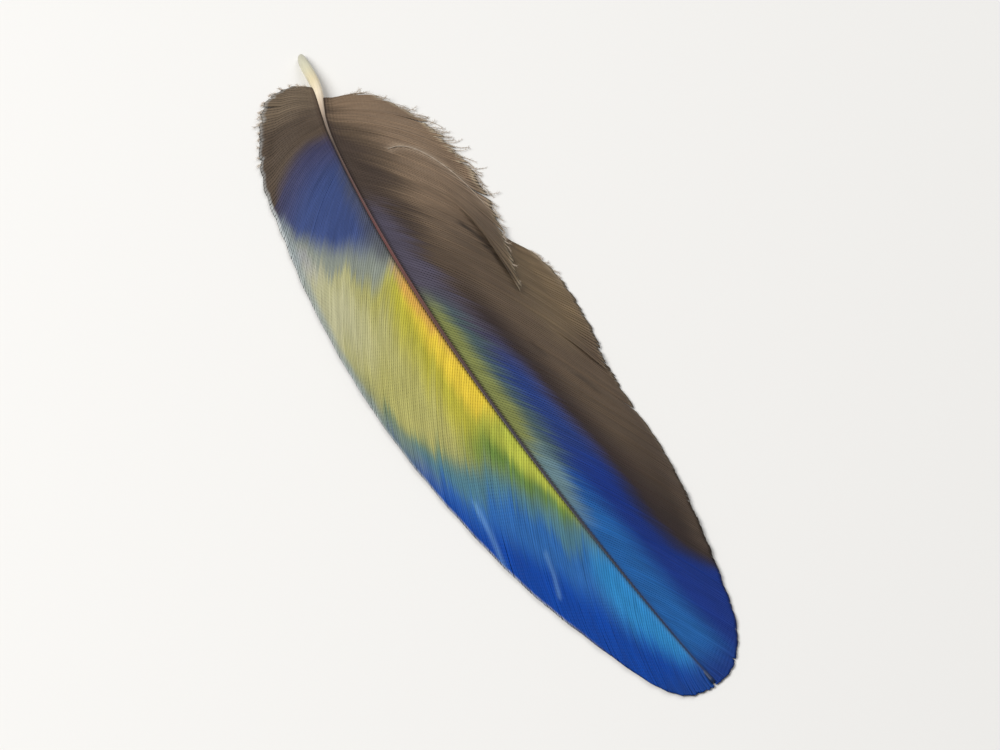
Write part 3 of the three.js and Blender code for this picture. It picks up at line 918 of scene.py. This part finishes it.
def fringe_paths(laid, count, span, lengths, rng):
    """Threads that go on from the tips of barbs picked at random, bending aside and down to the surface."""
    tips = laid["top"][:, -1, 2]
    heading = laid["top"][:, -1, 2] - laid["top"][:, -4, 2]
    near = np.flatnonzero((tips[:, 1] > span[0]) & (tips[:, 1] < span[1]))
    picked = rng.choice(near, min(count, len(near)), replace=False)
    turn = rng.normal(0, 0.3, len(picked))[:, None] * np.linspace(0.3, 1.6, THREAD_STEPS)
    length = rng.uniform(*lengths, len(picked))[:, None] * np.linspace(-0.25, 1, THREAD_STEPS)
    angle = np.arctan2(heading[picked, 1], heading[picked, 0])[:, None] + turn
    start = tips[picked][:, None]
    x = start[..., 0] + length * np.cos(angle)
    y = start[..., 1] + length * np.sin(angle)
    fall = 0.25 - rng.uniform(0, 0.25, (len(picked), 1))
    z = np.maximum(0.08, start[..., 2] + 0.02 - fall * np.maximum(length, 0))
    return np.stack([x, y, z], -1)


def barbules_of(paths, rng):
    """Short threads in pairs along each path, that lean forward from it on both sides."""
    share = np.linspace(0.12, 0.97, BARBULES_EACH // 2).repeat(2) * (paths.shape[1] - 1)
    step = np.minimum(share.astype(int), paths.shape[1] - 2)
    start = paths[:, step] + (share - step)[:, None] * (paths[:, step + 1] - paths[:, step])
    along = paths[:, step + 1] - paths[:, step]
    heading = np.arctan2(along[..., 1], along[..., 0]) + BARBULE_LEAN * np.tile([1, -1], BARBULES_EACH // 2)
    heading = heading + rng.normal(0, 0.25, heading.shape)
    length = rng.uniform(0.16, 0.4, heading.shape)
    rise = rng.uniform(-0.04, 0.08, heading.shape)
    end = start + np.stack([length * np.cos(heading), length * np.sin(heading), rise], -1)
    end[..., 2] = np.maximum(end[..., 2], 0.05)
    return np.stack([start, end], 2).reshape(-1, 2, 3)


def on_the_vane(seen, laid, lift):
    """The places on a vane's top that the slanted view shows at the seen x and y: the seen place less the
    height times the shift, with the height of the nearest point of a barb, worked out again until it
    settles."""
    tops = laid["top"].reshape(-1, 3)
    height = np.full(len(seen), 1.5)
    for _ in range(6):
        place = seen - SEEN_SHIFT * height[:, None]
        nearest = ((tops[None, :, :2] - place[:, None]) ** 2).sum(-1).argmin(1)
        height = tops[nearest, 2] + lift
    return np.column_stack([place, height])


def loose_keratin():
    """Unhooked barbs, as grown: without their neighbours' colour behind them the eye sees pale dun fluff."""
    material, tree, shader = new_material("loose_barb_keratin")
    place = add(tree, "TexCoord").outputs["Object"]
    # Tone changes from thread to thread, over about 1 mm
    patches = add(tree, "TexNoise", {"Vector": place, "Scale": 1000.0, "Detail": 2.0})
    tones = {MIX_SHARE: patches.outputs["Fac"], MIX_FROM: linear("#8d7c69"), MIX_TO: linear("#d6c7b4")}
    fluff = add(tree, "Mix", tones, data_type="RGBA")
    tree.links.new(fluff.outputs[MIX_RESULT], shader.inputs["Base Color"])
    shader.inputs["Roughness"].default_value = 0.6
    shader.inputs["IOR"].default_value = KERATIN_IOR
    shader.inputs["Specular IOR Level"].default_value = 0.3
    return material


def make_loose_barbs():
    """All the threads and their barbules, as one mesh."""
    rng = np.random.default_rng(21)
    laid = {"wide": wide_barbs, "narrow": narrow_barbs}
    paths = [fringe_paths(laid[vane], count, span, lengths, rng) for vane, count, span, lengths in FRINGES]
    bends = np.linspace(0, 1, 4 * THREAD_STEPS)
    fallen = on_the_vane(through(FALLEN_BARB, bends), wide_barbs, 0.09)
    points, quads, first = [], [], 0
    for group, radius in ((np.concatenate(paths), THREAD_RADIUS), (fallen[None], FALLEN_RADIUS)):
        taper = radius * np.linspace(1.0, 0.35, group.shape[1]) * np.ones((len(group), 1))
        barbules = barbules_of(group, rng)
        thin = np.tile([1.0, 0.45], (len(barbules), 1))
        for route, radii in ((group, taper), (barbules, BARBULE_RADIUS * thin)):
            tube_points, tube_quads = threads(route, radii)
            points.append(tube_points)
            quads.append(tube_quads + first)
            first += len(tube_points)
    return make_piece("loose_barbs", np.vstack(points), np.vstack(quads), None, {}, [loose_keratin()])


loose_barbs = make_loose_barbs()
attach(loose_barbs, "root")
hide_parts("feather")


# The surface that the feather lies on, and a soft studio light: a large panel above and to one side, a weaker
# one across from it, and an even glow from all round.
FLOOR_SIZE = 2.0
floor_mesh = bpy.data.meshes.new("floor")
half = FLOOR_SIZE / 2
floor_corners = [(-half, -half, 0), (half, -half, 0), (half, half, 0), (-half, half, 0)]
floor_mesh.from_pydata(floor_corners, [], [(0, 1, 2, 3)])
floor = bpy.data.objects.new("floor", floor_mesh)
bpy.context.scene.collection.objects.link(floor)
paper, _, paper_shader = new_material("matt_white_card")
paper_shader.inputs["Base Color"].default_value = linear("#eceae6")
paper_shader.inputs["Roughness"].default_value = 0.9
floor_mesh.materials.append(paper)


def aim(thing, place, target):
    """Stands a light or the camera at a place, turned to a target."""
    thing.location = place
    thing.rotation_mode = "QUATERNION"
    thing.rotation_quaternion = (Vector(target) - Vector(place)).to_track_quat("-Z", "Y")


def panel(name, place, size, watts):
    """A square light panel, aimed at the feather."""
    light = bpy.data.lights.new(name, "AREA")
    light.size = size
    light.energy = watts
    lamp = bpy.data.objects.new(name, light)
    bpy.context.scene.collection.objects.link(lamp)
    aim(lamp, place, (0, 0, 0))


panel("key_panel", (-0.45, 0.15, 0.6), 0.45, 5.1)
panel("fill_panel", (0.5, 0.35, 0.5), 0.5, 2.0)
world = bpy.data.worlds.new("studio")
world.use_nodes = True
world.node_tree.nodes["Background"].inputs["Color"].default_value = linear("#f4f6fa")
world.node_tree.nodes["Background"].inputs["Strength"].default_value = 0.31
bpy.context.scene.world = world
bpy.context.scene.view_settings.view_transform = "Standard"


# The camera looks down on the feather at the photograph's viewing angle, from beyond its tip and to the
# left. Its focal length is given in pixels of an image that is 1000 wide.
AZIMUTH = math.radians(-28.47)
ELEVATION = math.radians(55.0)
CAMERA_DISTANCE = 0.4
FOCAL_PIXELS = 3500
IMAGE_WIDTH = 1000
SENSOR_WIDTH = 36.0
camera = bpy.data.objects.new("camera", bpy.data.cameras.new("camera"))
bpy.context.scene.collection.objects.link(camera)
camera.data.sensor_width = SENSOR_WIDTH
camera.data.lens = SENSOR_WIDTH * FOCAL_PIXELS / IMAGE_WIDTH
target = np.array([0.0007, -0.0039, 0.0015])
back = np.array([
    math.sin(AZIMUTH) * math.cos(ELEVATION),
    -math.cos(AZIMUTH) * math.cos(ELEVATION),
    math.sin(ELEVATION),
])
aim(camera, target + CAMERA_DISTANCE * back, target)
camera.data.clip_start = 0.01
bpy.context.scene.camera = camera
